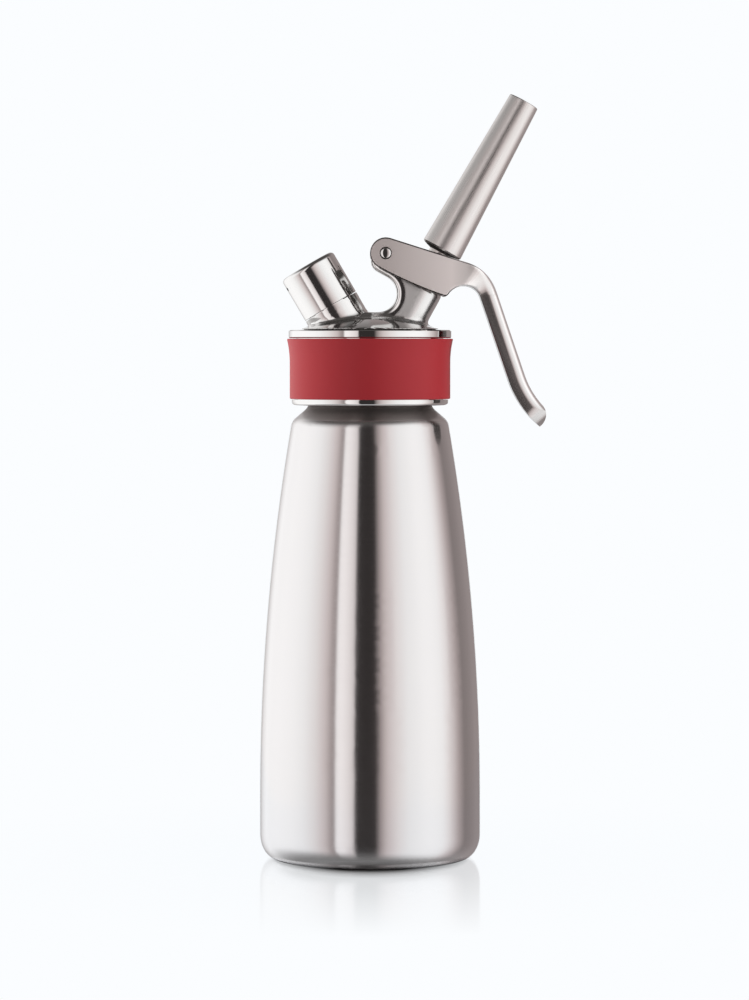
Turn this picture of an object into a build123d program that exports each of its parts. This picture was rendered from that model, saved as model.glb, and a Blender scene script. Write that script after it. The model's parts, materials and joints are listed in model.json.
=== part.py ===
from build123d import *
import os
from math import acos, atan2, cos, degrees, pi, radians, sin

# Half-litre cream whipper. Millimetres and degrees, +Z up, origin on the floor under the
# bottle's axis. The lever and the decorating tip lean towards +X, the charging port to -X.

# Driving dimensions of the bottle
bottle_diameter = 84.6
bottle_wall = 1.2
foot_corner_width = 6.1
foot_corner_height = 9.2
foot_width = 5.0
base_rise = 2.5
belly_height = 24.0
shoulder_height = 167.4
shoulder_diameter = 59.9
shoulder_round = 5.0
shoulder_rise = 5.7
neck_diameter = 46.4
neck_length = 21.4
neck_wall = 1.7
neck_root_round = 5.0
mouth_round = 0.4

# Neck thread, shared by the bottle and the head
neck_pitch = 3.0
neck_ridge_height = 1.5
neck_ridge_base = 1.5
neck_ridge_crest = 0.8
neck_ridge_turns = 2.3
neck_thread_start = 8.8
thread_clearance = 0.3
ridge_bite = 0.3

# Head casting and its threaded neck ring
gasket_thickness = 2.4
gasket_width = 5.0
gasket_play = 0.4
skirt_depth = 23.3
skirt_lead_in = 0.8
register_wall = 1.5
register_height = 1.4
register_play = 0.05
lower_ring_overhang = 1.8
lower_ring_height = 2.1
lower_ring_round = 1.1
skirt_wall = 3.2
top_plate = 5.3
flange_overhang = 3.0
flange_height = 3.1
flange_edge = 0.4
flange_ledge = 3.7
dome_rise = 5.3

# Silicone band
band_waist = 2.5
band_flare = 3.6
band_flare_height = 9.0
band_round = 0.5
band_seam = 0.2
band_play = 0.05

# Dosing valve: the pillar and everything along its tilted axis
valve_tilt = 29.0
valve_cross_depth = 13.5
seat_height = 10.5
seat_boss_diameter = 16.0
pillar_diameter = 17.4
pillar_top = 41.0
stem_diameter = 9.4
stem_play = 0.06
inlet_relief_diameter = 11.2
inlet_relief_depth = 6.5
inlet_diameter = 3.2
inlet_count = 4
stem_bore = 4.6
stem_shoulder_diameter = 8.6
foot_disc_diameter = 14.0
foot_disc_thickness = 2.5
valve_seal_thickness = 2.0
soft_play = 0.05
soft_edge = 0.1
o_ring_play = 0.02
o_ring_section = 1.6
o_ring_lift = 12.5
o_ring_spacing = 9.0
collar_diameter = 15.2
collar_thickness = 1.8
collar_edge = 0.2
clip_diameter = 9.5
clip_thickness = 0.8
clip_groove = 0.5
clip_opening = 60.0
spring_wire = 0.9
spring_diameter = 11.2
spring_turns = 5
spring_pocket_depth = 5.0
spring_height = 10.0
spring_play = 0.3
spring_end_gap = 0.1

# Decorating tip and its thread on the stem
tip_gap = 8.5
tip_length = 64.75
tip_base_diameter = 16.0
tip_end_diameter = 11.9
tip_outlet_diameter = 9.2
tip_outlet_length = 12.0
tip_throat_diameter = 6.4
tip_socket_depth = 9.5
tip_edge = 0.6
tip_lip = 0.4
tip_seal_thickness = 1.0
tip_seal_taper = 3.0
tip_pitch = 1.5
tip_ridge_height = 0.5
tip_ridge_base = 0.6
tip_ridge_crest = 0.35
tip_ridge_turns = 3.5
tip_ridge_start = 0.6
tip_thread_clearance = 0.25
thread_pass = 0.2
stem_thread_diameter = 6.6
stem_end_gap = 1.5

# Pivot bracket between pillar and lever pin
notch_radius = 7.1
notch_offset = 13.2
bracket_thickness = 17.0
bridge_rise = 6.8
bridge_round = 1.8
bridge_reach = 14.0
lug_reach = 4.2
lug_top = 4.7
lug_round = 4.5

# Lever and its pin
pin_arm = 18.0
pin_height = 44.8
pin_diameter = 3.9
pin_play = 0.05
pin_proud = 0.5
pin_dome = 0.4
cheek_play = 0.4
cheek_thickness = 2.4
cheek_end_radius = 6.0
cheek_round = 0.7
cheek_low_round = 1.5
cheek_low_corner = (2.7, -3.3)
cheek_top_bend = (2.1, 11.9)
cheek_end_low = 3.0
cheek_end_high = 12.2
countersink_width = 0.25
nose_radius = 2.6
nose_gap = 0.2
nose_clear = 0.25
root_gap = 2.5
root_wall = 1.8
handle_width = 16.0
handle_thickness = 6.6
handle_round = 3.6
handle_chamfer = 0.25
handle_start = (10.7, 5.4)
handle_slope = 42.2
handle_straight = 33.6
handle_curl_radius = 36.0
handle_curl = 32.5
handle_nose_radius = 5.9
root_steps = 10

# Charging port and its cap
port_tilt = 30.4
port_cross_depth = 11.2
port_diameter = 22.5
port_seam = 29.4
cap_seam = 0.3
nipple_length = 11.0
nipple_diameter = 17.8
cap_pitch = 2.0
cap_ridge_height = 0.7
cap_ridge_base = 0.9
cap_ridge_crest = 0.5
cap_ridge_turns = 3.0
cap_ridge_start = 2.0
cap_thread_clearance = 0.25
cap_length = 18.2
cap_top = 2.5
cap_top_round = 1.6
cap_edge = 0.2
cap_seal_thickness = 1.5
cap_seal_width = 3.2
cap_recess_diameter = 15.0
vent_diameter = 1.6
vent_turn = 14.0

# Charging valve inside the port
charger_bore = 9.2
charger_floor = 24.0
gas_bore = 6.4
gas_play = 0.05
inner_boss_diameter = 10.4
inner_boss_height = 10.5
pin_flange_thickness = 1.5
pin_shank_length = 6.0
needle_diameter = 2.6
needle_length = 7.5
needle_cone = 3.0
needle_point = 0.4
needle_bore = 1.2
needle_eye = 0.7
charger_seal_thickness = 2.0
charger_seal_hole = 3.2
poppet_diameter = 5.0
poppet_thickness = 1.2
poppet_stem_diameter = 1.8
poppet_stem_length = 5.0
poppet_play = 0.1
retainer_thickness = 1.4
retainer_hole = 0.9
retainer_holes = 4
check_wire = 0.4
check_spring_diameter = 3.5
check_turns = 3

os.makedirs("parts", exist_ok=True)


def side_plane(tilt, cross_height):
    """Upright plane through the bottle's axis: x is across a tilted axis, y runs along it."""
    lean = radians(tilt)
    return Plane(
        origin=(0, 0, cross_height), x_dir=(cos(lean), 0, -sin(lean)), z_dir=(0, -1, 0)
    )


def axis_of(side):
    return Axis(side.origin, side.y_dir)


def across(side, height):
    """Plane square to a tilted axis, at a height along it."""
    return Plane(origin=side.from_local_coords((0, height, 0)), x_dir=side.x_dir, z_dir=side.y_dir)


def corner(section, x, y):
    """Vertex of a sketch that lies nearest to a point."""
    return section.vertices().sort_by_distance((x, y))[0]


def helical_ridge(side, foot, crest, foot_width, crest_width, pitch, turns, start):
    """One thread ridge with a trapezium section, wound round a tilted axis."""
    centre = side.from_local_coords((0, start, 0))
    with BuildPart() as ridge:
        with BuildLine() as path:
            Helix(pitch, pitch * turns, foot, center=centre, direction=side.y_dir)
        begin = path.line @ 0
        with BuildSketch(Plane(begin, x_dir=begin - centre, z_dir=path.line % 0)):
            with BuildLine():
                Polyline(
                    (0, -foot_width / 2),
                    (crest - foot, -crest_width / 2),
                    (crest - foot, crest_width / 2),
                    (0, foot_width / 2),
                    close=True,
                )
            make_face()
        sweep(path=path.line, is_frenet=True)
    return ridge.part


def coil_spring(side, name, mean_radius, wire, low, high, turns):
    """Open coil on arcs of an eighth of a turn, between two heights of its wire's middle."""
    pitch = (high - low) / turns

    def place(quarter):
        angle = quarter * pi / 2
        along = low + pitch * quarter / 4
        return side.from_local_coords((mean_radius * cos(angle), along, mean_radius * sin(angle)))

    def heading(quarter):
        angle = quarter * pi / 2
        run = 2 * pi * mean_radius
        tip = side.from_local_coords((-run * sin(angle), pitch, run * cos(angle)))
        return (tip - side.origin).normalized()

    with BuildPart() as spring:
        with BuildLine() as path:
            for quarter in range(4 * turns):
                first, last = place(quarter), place(quarter + 1)
                out, back = heading(quarter), heading(quarter + 1)
                chord, both = last - first, out + back
                square = 4 - both.dot(both)
                half = chord.dot(both)
                leg = ((half**2 + square * chord.dot(chord)) ** 0.5 - half) / square
                near, far = first + out * leg, last - back * leg
                middle = (near + far) * 0.5
                TangentArc(first, middle, tangent=out)
                TangentArc(middle, last, tangent=far - near)
        with BuildSketch(Plane(path.line @ 0, z_dir=path.line % 0)):
            Circle(wire / 2)
        sweep(path=path.line)
    steps = 24
    points = [path.line @ (i / (steps * turns)) for i in range(steps * turns + 1)]
    gap = min(
        (points[i] - points[j]).length
        for i in range(len(points))
        for j in range(i + steps // 2, len(points))
    )
    print(f"{name}: least gap between turns {gap - wire:.2f} mm")
    return spring.part


def finish(piece, name):
    piece.part.label = name
    export_step(piece.part, f"parts/{name}.step")


# Frames shared by the pieces
bottle_side = Plane.XZ
bottle_radius = bottle_diameter / 2
neck_radius = neck_diameter / 2
neck_foot = shoulder_height + shoulder_rise
mouth = neck_foot + neck_length
ceiling = mouth + gasket_thickness
skirt_low = ceiling - skirt_depth
flange_top = ceiling + top_plate
valve_side = side_plane(valve_tilt, ceiling - valve_cross_depth)
valve_axis = axis_of(valve_side)
port_side = side_plane(-port_tilt, ceiling - port_cross_depth)
port_axis = axis_of(port_side)
thread_low = neck_foot + neck_thread_start

# Heights along the valve's axis
spring_floor = pillar_top - spring_pocket_depth
collar_low = spring_floor + spring_height
collar_high = collar_low + collar_thickness
tip_base = collar_high + tip_gap
seal_low = tip_base - tip_seal_thickness
socket_top = tip_base + tip_socket_depth
stem_end = socket_top - stem_end_gap
stem_ridge_low = tip_base + tip_ridge_start
disc_high = seat_height - valve_seal_thickness

# Heights along the port's axis
nipple_end = port_seam + nipple_length
cap_low = port_seam + cap_seam
cap_high = port_seam + cap_length
cap_ridge_low = port_seam + cap_ridge_start
shank_low = charger_floor - pin_shank_length
flange_high = charger_floor + pin_flange_thickness
poppet_low = shank_low - poppet_thickness
retainer_low = poppet_low - poppet_stem_length
retainer_high = retainer_low + retainer_thickness


# Bottle: drawn shell with a dished base, an ogive side, a shoulder and a threaded neck
def bottle_outline(inset, neck, top):
    """Half section of the bottle's outside, or of its inside when it is set in by the wall."""
    radius = bottle_radius - inset
    foot = bottle_radius - foot_corner_width
    with BuildSketch(bottle_side) as section:
        with BuildLine():
            TangentArc((0, base_rise + inset), (foot - foot_width, inset), tangent=(1, 0))
            Line((foot - foot_width, inset), (foot, inset))
            EllipticalCenterArc(
                (foot, foot_corner_height),
                foot_corner_width - inset,
                foot_corner_height - inset,
                start_angle=270,
                arc_size=90,
            )
            Line((radius, foot_corner_height), (radius, belly_height))
            TangentArc(
                (radius, belly_height),
                (shoulder_diameter / 2 - inset, shoulder_height),
                tangent=(0, 1),
            )
            Line((shoulder_diameter / 2 - inset, shoulder_height), (neck, neck_foot))
            Line((neck, neck_foot), (neck, top))
            Line((neck, top), (0, top))
            Line((0, top), (0, base_rise + inset))
        make_face()
        fillet(corner(section, shoulder_diameter / 2 - inset, shoulder_height), shoulder_round)
        fillet(corner(section, neck, neck_foot), neck_root_round)
    return section.sketch


neck_ridge = helical_ridge(
    Plane.XZ,
    neck_radius - ridge_bite,
    neck_radius + neck_ridge_height,
    neck_ridge_base,
    neck_ridge_crest,
    neck_pitch,
    neck_ridge_turns,
    thread_low,
)
with BuildPart() as bottle:
    add(bottle_outline(0, neck_radius, mouth))
    revolve(axis=Axis.Z)
    add(bottle_outline(bottle_wall, neck_radius - neck_wall, mouth))
    revolve(axis=Axis.Z, mode=Mode.SUBTRACT)
    fillet(bottle.edges().group_by(Axis.Z)[-1], mouth_round)
    add(neck_ridge)
finish(bottle, "bottle")


# Head gasket: flat ring between the bottle's mouth and the head's ceiling
skirt_bore = neck_radius + neck_ridge_height + thread_clearance
gasket_radius = skirt_bore - gasket_play
with BuildPart() as head_gasket:
    with BuildSketch(Plane.XY.offset(mouth)):
        Circle(gasket_radius)
        Circle(gasket_radius - gasket_width, mode=Mode.SUBTRACT)
    extrude(amount=gasket_thickness)
finish(head_gasket, "head_gasket")

# Head: one casting with flange, dome, port boss, valve pillar and pivot bracket
pillar_radius = pillar_diameter / 2
port_radius = port_diameter / 2
nipple_radius = nipple_diameter / 2
band_seat = skirt_bore + skirt_wall
ring_radius = band_seat + lower_ring_overhang
ring_high = skirt_low + lower_ring_height
flange_radius = band_seat + flange_overhang
dome_radius = flange_radius - flange_ledge
flange_low = flange_top - flange_height
register_radius = skirt_bore + register_wall
register_low = ceiling - register_height
stem_guide = stem_diameter / 2 + stem_play
spring_pocket = (spring_diameter + spring_wire) / 2 + spring_play
bridge_top = flange_top + bridge_rise
bridge_foot = (ceiling + flange_top) / 2


def inside_plate(tilt, cross_depth, radius):
    """Height along a tilted axis at which a round boss starts, wholly above the ceiling."""
    return (cross_depth + radius * sin(radians(tilt))) / cos(radians(tilt))


def upright(across_axis, along_axis):
    """Point of the valve's side plane, as X and Z."""
    point = valve_side.from_local_coords((across_axis, along_axis, 0))
    return (point.X, point.Z)


notch_rise = notch_offset * sin(radians(valve_tilt))
notch_height = (bridge_rise + top_plate + valve_cross_depth + notch_radius - notch_rise) / cos(
    radians(valve_tilt)
)
lug_low = notch_height + notch_radius
lug_high = pin_height + lug_top
lug_end = -pin_arm - lug_reach
pillar_foot = inside_plate(valve_tilt, valve_cross_depth, pillar_radius)
notch_middle = upright(-notch_offset, notch_height)
pin_place = valve_side.from_local_coords((-pin_arm, pin_height, 0))
lever_side = Plane(pin_place, x_dir=valve_side.x_dir, z_dir=valve_side.z_dir)
pin_radius = pin_diameter / 2

with BuildPart() as bridge:
    with BuildSketch(Plane.XZ) as bridge_section:
        with BuildLine():
            Polyline(
                (notch_middle[0], bridge_top),
                (-bridge_reach, bridge_top),
                (-bridge_reach, bridge_foot),
                (upright(0, pillar_foot)[0], bridge_foot),
                upright(0, pillar_foot),
                upright(0, pillar_top),
                upright(-pillar_radius, pillar_top),
                upright(-pillar_radius, lug_high),
                upright(lug_end, lug_high),
                upright(lug_end, lug_low),
                upright(-notch_offset, lug_low),
            )
            ThreePointArc(
                upright(-notch_offset, lug_low),
                upright(-notch_offset + notch_radius, notch_height),
                (notch_middle[0], bridge_top),
            )
        make_face()
        fillet(corner(bridge_section, *upright(lug_end, lug_high)), lug_round)
        fillet(corner(bridge_section, *upright(lug_end, lug_low)), lug_round)
    extrude(amount=bracket_thickness / 2, both=True)
    rims = bridge.faces().filter_by(Axis.Y).edges()
    fillet(
        rims.filter_by(
            lambda e: e.geom_type == GeomType.CIRCLE
            or valve_side.to_local_coords(e.center()).X < -notch_offset
        ),
        bridge_round,
    )

nipple_ridge = helical_ridge(
    port_side,
    nipple_radius - ridge_bite,
    nipple_radius + cap_ridge_height,
    cap_ridge_base,
    cap_ridge_crest,
    cap_pitch,
    cap_ridge_turns,
    cap_ridge_low,
)
with BuildPart() as head:
    with BuildSketch(Plane.XZ) as head_section:
        with BuildLine():
            Polyline(
                (dome_radius, flange_top),
                (flange_radius, flange_top),
                (flange_radius, flange_low),
                (band_seat, flange_low),
                (band_seat, ceiling),
                (register_radius, ceiling),
                (register_radius, register_low),
                (skirt_bore, register_low),
                (skirt_bore, ceiling),
                (0, ceiling),
                (0, flange_top + dome_rise),
            )
            TangentArc(
                (0, flange_top + dome_rise), (dome_radius, flange_top), tangent=(1, 0)
            )
        make_face()
        chamfer(corner(head_section, flange_radius, flange_top), flange_edge)
        chamfer(corner(head_section, flange_radius, flange_low), flange_edge)
    revolve(axis=Axis.Z)
    with BuildSketch(across(valve_side, pillar_foot)):
        Circle(pillar_radius)
    extrude(amount=pillar_top - pillar_foot)
    with BuildSketch(valve_side):
        with Locations((-notch_offset, notch_height)):
            Circle(notch_radius)
    extrude(amount=pillar_radius, both=True, mode=Mode.SUBTRACT)
    seat_boss = seat_boss_diameter / 2
    with BuildSketch(across(valve_side, seat_height)):
        Circle(seat_boss)
    extrude(amount=inside_plate(valve_tilt, valve_cross_depth, seat_boss) - seat_height)
    port_foot = inside_plate(port_tilt, port_cross_depth, port_radius)
    with BuildSketch(across(port_side, port_foot)):
        Circle(port_radius)
    extrude(amount=port_seam - port_foot)
    with BuildSketch(across(port_side, port_foot)):
        Circle(nipple_radius)
    extrude(amount=nipple_end - port_foot)
    inner_boss = inner_boss_diameter / 2
    with BuildSketch(across(port_side, inner_boss_height)):
        Circle(inner_boss)
    extrude(amount=inside_plate(port_tilt, port_cross_depth, inner_boss) - inner_boss_height)
    add(bridge.part)
    with BuildSketch(lever_side):
        Circle(lug_reach)
    extrude(amount=pillar_radius, both=True)
    with BuildSketch(valve_side):
        with BuildLine():
            Polyline(
                (0, 0),
                (inlet_relief_diameter / 2, 0),
                (inlet_relief_diameter / 2, seat_height + inlet_relief_depth),
                (stem_guide, seat_height + inlet_relief_depth),
                (stem_guide, spring_floor),
                (spring_pocket, spring_floor),
                (spring_pocket, collar_high),
                (0, collar_high),
                close=True,
            )
        make_face()
    revolve(axis=valve_axis, mode=Mode.SUBTRACT)
    with BuildSketch(port_side):
        with BuildLine():
            Polyline(
                (0, 0),
                (gas_bore / 2, 0),
                (gas_bore / 2, charger_floor),
                (charger_bore / 2, charger_floor),
                (charger_bore / 2, cap_high),
                (0, cap_high),
                close=True,
            )
        make_face()
    revolve(axis=port_axis, mode=Mode.SUBTRACT)
    with BuildSketch(lever_side):
        Circle(pin_radius + pin_play)
    extrude(amount=pillar_diameter, both=True, mode=Mode.SUBTRACT)
    add(nipple_ridge)
finish(head, "head")

# Neck ring: threaded skirt brazed on the register under the head's plate
neck_ring_ridge = helical_ridge(
    Plane.XZ,
    skirt_bore + ridge_bite,
    skirt_bore - neck_ridge_height,
    neck_ridge_base,
    neck_ridge_crest,
    neck_pitch,
    neck_ridge_turns,
    thread_low - neck_pitch / 2,
)
with BuildPart() as neck_ring:
    with BuildSketch(Plane.XZ) as ring_section:
        with BuildLine():
            Polyline(
                (band_seat, ceiling),
                (band_seat, ring_high),
                (ring_radius, ring_high),
                (ring_radius, skirt_low),
                (skirt_bore, skirt_low),
                (skirt_bore, register_low),
                (register_radius + register_play, register_low),
                (register_radius + register_play, ceiling),
                close=True,
            )
        make_face()
        fillet(corner(ring_section, ring_radius, skirt_low), lower_ring_round)
        chamfer(corner(ring_section, skirt_bore, skirt_low), skirt_lead_in)
    revolve(axis=Axis.Z)
    add(neck_ring_ridge)
finish(neck_ring, "neck_ring")

# Silicone band: stretched round the skirt between the lower ring and the flange
waist_radius = band_seat + band_waist
flare_radius = band_seat + band_flare
band_low = ring_high + band_seam
band_high = flange_low - band_seam
with BuildPart() as grip_band:
    with BuildSketch(Plane.XZ) as band_section:
        with BuildLine():
            Polyline(
                (waist_radius, band_high - band_flare_height),
                (waist_radius, band_low),
                (band_seat + band_play, band_low),
                (band_seat + band_play, band_high),
                (flare_radius, band_high),
            )
            TangentArc(
                (waist_radius, band_high - band_flare_height),
                (flare_radius, band_high),
                tangent=(0, 1),
            )
        make_face()
        fillet(corner(band_section, waist_radius, band_low), band_round)
        fillet(corner(band_section, flare_radius, band_high), band_round)
    revolve(axis=Axis.Z)
finish(grip_band, "grip_band")

# Lever pin: pressed through the bracket, with the lever's cheeks turning on its ends
slot_half = pillar_radius + cheek_play
cheek_out = slot_half + cheek_thickness
with BuildPart() as lever_pin:
    with BuildSketch(lever_side):
        Circle(pin_radius)
    extrude(amount=cheek_out + pin_proud, both=True)
    fillet(lever_pin.edges(), pin_dome)
finish(lever_pin, "lever_pin")

# Lever: two cheeks that straddle bracket and pillar, a root wall and a curved handle
cheek_length = pin_arm + pillar_radius + root_gap + root_wall
low_corner = (cheek_length - cheek_low_corner[0], cheek_low_corner[1])
end_low = (cheek_length, cheek_end_low)
end_high = (cheek_length, cheek_end_high)
nose_along = collar_high + nose_gap + nose_radius - pin_height
nose_inner = clip_diameter / 2 + nose_clear

# Side lines of the lever, from the pin: cheeks, then the root where they run into the handle
bend = Vector(cheek_length - cheek_top_bend[0], cheek_top_bend[1])
top_lead = degrees(atan2(bend.Y, bend.X) + acos(cheek_end_radius / bend.length))
handle_run = Vector(cos(radians(handle_slope)), -sin(radians(handle_slope)))
handle_rise = Vector(-handle_run.Y, handle_run.X) * (handle_thickness / 2)
handle_middle = Vector(cheek_length + handle_start[0], handle_start[1])
cheek_arc = CenterArc((0, 0), cheek_end_radius, top_lead, 270 - top_lead)
top_arc = TangentArc(bend, end_high, tangent=bend - cheek_arc @ 0)
root_outer = TangentArc(end_high, handle_middle + handle_rise, tangent=top_arc % 1)
root_inner = TangentArc(handle_middle - handle_rise, end_low, tangent=handle_run * -1)
root_back = TangentArc(end_low, low_corner, tangent=root_inner % 1)


def handle_section(plane, half_width, half_depth, share):
    """Cross section of the handle: rounded outside, bevelled inside."""
    bevel = handle_chamfer * share
    with BuildSketch(plane) as section:
        with BuildLine():
            Polyline(
                (half_width, half_depth),
                (-half_width, half_depth),
                (-half_width, bevel - half_depth),
                (bevel - half_width, -half_depth),
                (half_width - bevel, -half_depth),
                (half_width, bevel - half_depth),
                close=True,
            )
        make_face()
        fillet(section.vertices().group_by(Axis.Y)[-1], handle_round * share)
    return section.sketch


def station_plane(inner, outer):
    """Plane across the handle: x is its width, y points from the inner to the outer edge."""
    low = lever_side.from_local_coords(inner)
    high = lever_side.from_local_coords(outer)
    return Plane((low + high) * 0.5, x_dir=(0, 1, 0), z_dir=Vector(0, 1, 0).cross(high - low))


with BuildPart() as lever:
    with BuildSketch(lever_side) as cheek_section:
        with BuildLine():
            add([cheek_arc, top_arc, root_back])
            TangentArc(cheek_arc @ 1, low_corner, tangent=(1, 0))
            Line(end_low, end_high)
            Line(bend, cheek_arc @ 0)
        make_face()
        fillet(corner(cheek_section, *low_corner), cheek_low_round)
    extrude(amount=cheek_out, both=True)
    rims = lever.faces().filter_by(Axis.Y).edges()
    root_way = Axis(pin_place, lever_side.x_dir)
    fillet(rims - rims.group_by(root_way)[-1], cheek_round)
    stations = [lever.faces().sort_by(root_way)[-1]]
    for step in range(1, root_steps + 1):
        inner = root_inner @ (1 - step / root_steps)
        outer = root_outer @ (step / root_steps)
        ease = (1 - cos(pi * step / root_steps)) / 2
        half_width = cheek_out + (handle_width / 2 - cheek_out) * ease
        share = cheek_round / handle_round * (1 - ease) + ease
        half_depth = (outer - inner).length / 2
        section = handle_section(station_plane(inner, outer), half_width, half_depth, share)
        stations.append(section.face())
    loft(stations, ruled=True)
    handle_side = Plane(
        lever_side.from_local_coords(handle_middle),
        x_dir=lever_side.x_dir.rotate(Axis.Y, handle_slope),
        z_dir=lever_side.z_dir,
    )
    with BuildLine(handle_side) as handle_path:
        Line((0, 0), (handle_straight, 0))
        CenterArc((handle_straight, handle_curl_radius), handle_curl_radius, 270, handle_curl)
    handle_begin = station_plane(handle_middle - handle_rise, handle_middle + handle_rise)
    add(handle_section(handle_begin, handle_width / 2, handle_thickness / 2, 1.0))
    handle_wire = handle_path.wire()
    sweep(path=handle_wire)
    nose_share = 1 - handle_nose_radius / handle_wire.length
    along = handle_wire % nose_share
    upward = Vector(0, 1, 0).cross(along) * -1
    tip_middle = handle_wire @ nose_share
    nose_middle = tip_middle - upward * (handle_nose_radius - handle_thickness / 2)
    with BuildSketch(Plane(nose_middle, x_dir=along, z_dir=lever_side.z_dir)):
        Rectangle(handle_width, 2 * handle_width, align=(Align.MIN, Align.CENTER))
        Circle(handle_nose_radius, mode=Mode.SUBTRACT)
    extrude(amount=handle_width, both=True, mode=Mode.SUBTRACT)
    paddle_middle = nose_middle + along * (handle_nose_radius - handle_width / 2)
    with BuildSketch(Plane(paddle_middle, x_dir=along, z_dir=upward)):
        Rectangle(handle_width, 2 * handle_width, align=(Align.MIN, Align.CENTER))
        Circle(handle_width / 2, mode=Mode.SUBTRACT)
    extrude(amount=handle_width, both=True, mode=Mode.SUBTRACT)
    with BuildSketch(lever_side):
        with Locations((cheek_length - root_wall, 0)):
            Rectangle(2 * cheek_length, 2 * cheek_length, align=(Align.MAX, Align.CENTER))
    extrude(amount=slot_half, both=True, mode=Mode.SUBTRACT)
    for side in (1, -1):
        with BuildSketch(lever_side.offset(side * nose_inner)):
            with Locations((pin_arm, nose_along)):
                Circle(nose_radius)
        extrude(amount=side * (slot_half + cheek_play - nose_inner))
    with BuildSketch(lever_side):
        Circle(pin_radius + pin_play)
    extrude(amount=cheek_out, both=True, mode=Mode.SUBTRACT)
    outside = lever.faces().filter_by(Axis.Y).sort_by(Axis.Y)
    for cheek in (outside[0], outside[-1]):
        chamfer(cheek.inner_wires().edges(), countersink_width)
finish(lever, "lever")

# Valve stem: hollow, with a foot disc below and a thread for the tip above
stem_radius = stem_diameter / 2
shoulder_radius = stem_shoulder_diameter / 2
stem_thread = stem_thread_diameter / 2
disc_radius = foot_disc_diameter / 2
groove_floor = stem_guide - soft_play - o_ring_section
o_ring_heights = [seat_height + o_ring_lift, seat_height + o_ring_lift + o_ring_spacing]
clip_floor = shoulder_radius - clip_groove
stem_ridge = helical_ridge(
    valve_side,
    stem_thread - ridge_bite,
    stem_thread + tip_ridge_height,
    tip_ridge_base,
    tip_ridge_crest,
    tip_pitch,
    tip_ridge_turns,
    stem_ridge_low,
)
with BuildPart() as valve_stem:
    with BuildSketch(valve_side):
        with BuildLine():
            Polyline(
                (0, disc_high - foot_disc_thickness),
                (disc_radius, disc_high - foot_disc_thickness),
                (disc_radius, disc_high),
                (stem_radius, disc_high),
                (stem_radius, collar_low),
                (shoulder_radius, collar_low),
                (shoulder_radius, collar_high),
                (clip_floor, collar_high),
                (clip_floor, collar_high + clip_thickness),
                (shoulder_radius, collar_high + clip_thickness),
                (shoulder_radius, seal_low),
                (stem_thread, seal_low),
                (stem_thread, stem_end),
                (stem_bore / 2, stem_end),
                (stem_bore / 2, disc_high),
                (0, disc_high),
                close=True,
            )
        make_face()
        with Locations(*[(groove_floor, height) for height in o_ring_heights]):
            Rectangle(
                stem_radius,
                o_ring_section + 2 * o_ring_play,
                align=(Align.MIN, Align.CENTER),
                mode=Mode.SUBTRACT,
            )
    revolve(axis=valve_axis)
    inlet_middle = across(valve_side, seat_height + inlet_relief_depth / 2)
    for index in range(inlet_count):
        turned = inlet_middle.rotated((0, 0, 360 / inlet_count * index))
        with BuildSketch(Plane(turned.origin, x_dir=turned.z_dir, z_dir=turned.x_dir)):
            Circle(inlet_diameter / 2)
        extrude(amount=stem_diameter, mode=Mode.SUBTRACT)
    add(stem_ridge)
finish(valve_stem, "valve_stem")

# Valve seal: soft ring on the foot disc, pressed against the seat under the head
with BuildPart() as valve_seal:
    with BuildSketch(across(valve_side, disc_high)):
        Circle(disc_radius - soft_edge)
        Circle(stem_radius + soft_play, mode=Mode.SUBTRACT)
    extrude(amount=valve_seal_thickness)
finish(valve_seal, "valve_seal")

# Stem rings: two round rings in the stem's grooves
with BuildPart() as stem_o_rings:
    with BuildSketch(valve_side):
        with Locations(*[(groove_floor + o_ring_section / 2, height) for height in o_ring_heights]):
            Circle(o_ring_section / 2 - o_ring_play)
    revolve(axis=valve_axis)
finish(stem_o_rings, "stem_o_rings")

# Stem collar: the ring that the lever presses, on the stem's shoulder
with BuildPart() as stem_collar:
    with BuildSketch(across(valve_side, collar_low)):
        Circle(collar_diameter / 2)
        Circle(shoulder_radius + soft_play, mode=Mode.SUBTRACT)
    extrude(amount=collar_thickness)
    chamfer(stem_collar.edges().filter_by(GeomType.CIRCLE).group_by(SortBy.RADIUS)[-1], collar_edge)
finish(stem_collar, "stem_collar")

# Collar clip: open ring snapped into the stem's groove above the collar
with BuildPart() as collar_clip:
    with BuildSketch(across(valve_side, collar_high)):
        Circle(clip_diameter / 2)
        Circle(clip_floor + soft_play, mode=Mode.SUBTRACT)
        opening = clip_diameter * sin(radians(clip_opening / 2))
        Rectangle(
            clip_diameter, opening, align=(Align.MIN, Align.CENTER), mode=Mode.SUBTRACT
        )
    extrude(amount=clip_thickness - soft_play)
finish(collar_clip, "collar_clip")

# Valve spring: open coil between the floor of the pillar's pocket and the collar
with BuildPart() as valve_spring:
    add(
        coil_spring(
            valve_side,
            "valve_spring",
            spring_diameter / 2,
            spring_wire,
            spring_floor + spring_wire / 2 + spring_end_gap,
            collar_low - spring_wire / 2 - spring_end_gap,
            spring_turns,
        )
    )
finish(valve_spring, "valve_spring")

# Tip seal: dark tapered ring between the stem's shoulder and the tip
tip_base_radius = tip_base_diameter / 2
seal_hole = stem_thread + tip_ridge_height + thread_pass
with BuildPart() as tip_seal:
    with BuildSketch(valve_side):
        with BuildLine():
            Polyline(
                (seal_hole, seal_low),
                (tip_base_radius - tip_edge - tip_seal_taper, seal_low),
                (tip_base_radius - tip_edge, tip_base),
                (seal_hole, tip_base),
                close=True,
            )
        make_face()
    revolve(axis=valve_axis)
finish(tip_seal, "tip_seal")

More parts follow.
